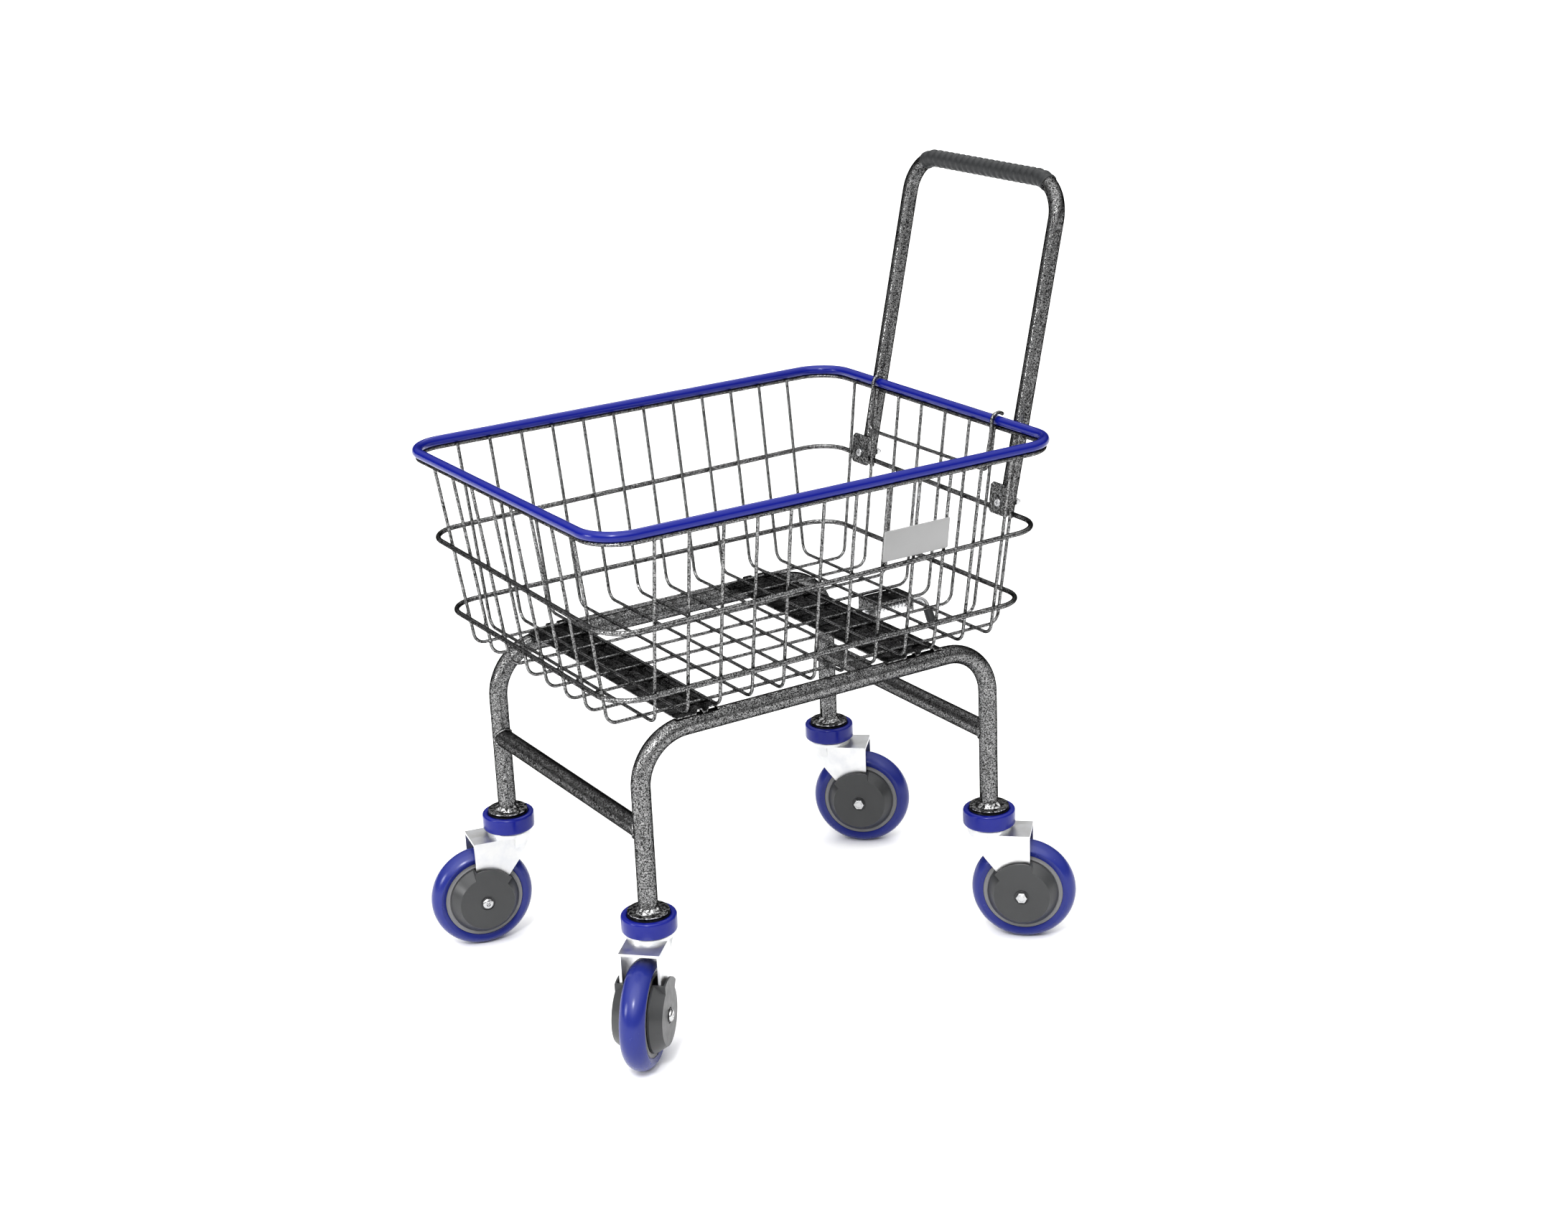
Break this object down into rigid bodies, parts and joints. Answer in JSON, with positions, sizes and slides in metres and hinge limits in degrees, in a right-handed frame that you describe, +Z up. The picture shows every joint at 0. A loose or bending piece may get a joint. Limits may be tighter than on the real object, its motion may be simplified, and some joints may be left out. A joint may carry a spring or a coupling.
{
  "type": "shopping cart",
  "caption": "Compact shopping cart: wire basket with sleeved rim and push handle on a bent-tube frame with swivel casters.",
  "frame": {"origin": "on the floor, midway between the four caster swivel axes", "axes": "+X along the cart towards the push handle, +Y across the cart, to the right of the person pushing it, +Z up"},
  "size_m": [0.7281, 0.5026, 0.9157],
  "materials": {
    "hammertone_coat": "dark grey powder coat with a fine silver vein, satin",
    "blue_plastic": "smooth gloss",
    "tyre_blue": "smooth satin",
    "bright_zinc": "bright zinc plate",
    "bolt_steel": "zinc plated",
    "spring_steel": "bright wire",
    "ball_steel": "polished",
    "wire_steel": "plain drawn wire",
    "dark_steel": "dark grey satin",
    "guard_plastic": "moulded satin",
    "core_plastic": "moulded matt",
    "grip_vinyl": "soft matt",
    "label_plastic": "blank, satin"
  },
  "bodies": {
    "frame": {"side_frame_left": "hammertone_coat", "side_frame_right": "hammertone_coat", "cross_tube_front": "hammertone_coat", "cross_tube_rear": "hammertone_coat", "floor_channel_front": "hammertone_coat", "floor_channel_rear": "hammertone_coat", "leg_washers": "hammertone_coat", "kingpins": "bright_zinc", "swivel_housings": "dark_steel", "bumper_rings": "blue_plastic", "swivel_balls": "ball_steel", "crosswise_wires": "hammertone_coat", "lengthwise_wires": "hammertone_coat", "upper_ring": "hammertone_coat", "lower_ring": "hammertone_coat", "rim_wire": "hammertone_coat", "rim_core_wire": "wire_steel", "rim_sleeve": "blue_plastic", "label_plate": "label_plastic", "handle_tube": "hammertone_coat", "handle_grip": "grip_vinyl", "clamp_plates": "hammertone_coat", "clamp_screws": "bright_zinc", "clamp_nuts": "bright_zinc", "latch_bracket": "hammertone_coat"},
    "swivel_front_left": {"fork_front_left": "bright_zinc", "axle_bolt_front_left": "bolt_steel", "axle_nut_front_left": "bolt_steel", "axle_sleeve_front_left": "bolt_steel", "thread_guards_front_left": "guard_plastic"},
    "wheel_front_left": {"wheel_core_front_left": "core_plastic", "tyre_front_left": "tyre_blue"},
    "swivel_front_right": {"fork_front_right": "bright_zinc", "axle_bolt_front_right": "bolt_steel", "axle_nut_front_right": "bolt_steel", "axle_sleeve_front_right": "bolt_steel", "thread_guards_front_right": "guard_plastic"},
    "wheel_front_right": {"wheel_core_front_right": "core_plastic", "tyre_front_right": "tyre_blue"},
    "swivel_rear_right": {"fork_rear_right": "bright_zinc", "axle_bolt_rear_right": "bolt_steel", "axle_nut_rear_right": "bolt_steel", "axle_sleeve_rear_right": "bolt_steel", "thread_guards_rear_right": "guard_plastic"},
    "wheel_rear_right": {"wheel_core_rear_right": "core_plastic", "tyre_rear_right": "tyre_blue"},
    "swivel_rear_left": {"fork_rear_left": "bright_zinc", "axle_bolt_rear_left": "bolt_steel", "axle_nut_rear_left": "bolt_steel", "axle_sleeve_rear_left": "bolt_steel", "thread_guards_rear_left": "guard_plastic"},
    "wheel_rear_left": {"wheel_core_rear_left": "core_plastic", "tyre_rear_left": "tyre_blue"},
    "bag_hook": {"bag_hook_wire": "hammertone_coat"},
    "latch_pull": {"latch_plunger": "bright_zinc", "latch_tip": "grip_vinyl", "latch_spring": "spring_steel"}
  },
  "joints": [
    {"name": "caster_swivel_front_left", "type": "hinge", "parent": "frame", "child": "swivel_front_left", "pos_m": [-0.237, -0.176, 0.15], "axis": [0, 0, 1], "continuous": true},
    {"name": "wheel_spin_front_left", "type": "hinge", "parent": "swivel_front_left", "child": "wheel_front_left", "pos_m": [-0.26583, -0.20585, 0.0635], "axis": [0.7193, -0.6947, 0], "continuous": true},
    {"name": "caster_swivel_front_right", "type": "hinge", "parent": "frame", "child": "swivel_front_right", "pos_m": [-0.237, 0.176, 0.15], "axis": [0, 0, 1], "continuous": true},
    {"name": "wheel_spin_front_right", "type": "hinge", "parent": "swivel_front_right", "child": "wheel_front_right", "pos_m": [-0.27774, 0.18392, 0.0635], "axis": [-0.1908, -0.9816, 0], "continuous": true},
    {"name": "caster_swivel_rear_right", "type": "hinge", "parent": "frame", "child": "swivel_rear_right", "pos_m": [0.237, 0.176, 0.15], "axis": [0, 0, 1], "continuous": true},
    {"name": "wheel_spin_rear_right", "type": "hinge", "parent": "swivel_rear_right", "child": "wheel_rear_right", "pos_m": [0.26784, 0.14823, 0.0635], "axis": [0.6691, 0.7431, 0], "continuous": true},
    {"name": "caster_swivel_rear_left", "type": "hinge", "parent": "frame", "child": "swivel_rear_left", "pos_m": [0.237, -0.176, 0.15], "axis": [0, 0, 1], "continuous": true},
    {"name": "wheel_spin_rear_left", "type": "hinge", "parent": "swivel_rear_left", "child": "wheel_rear_left", "pos_m": [0.26735, -0.2043, 0.0635], "axis": [0.682, 0.7314, 0], "continuous": true},
    {"name": "bag_hook_swing", "type": "hinge", "parent": "frame", "child": "bag_hook", "pos_m": [0.2975, 0, 0.6302], "axis": [0, 1, 0], "range_deg": [0, 55]},
    {"name": "latch_slide", "type": "slide", "parent": "frame", "child": "latch_pull", "axis": [1, 0, 0], "range_m": [0, 0.01], "stiffness_N_per_m": 400, "springref_m": -0.008, "deforming": ["latch_spring"]}
  ]
}
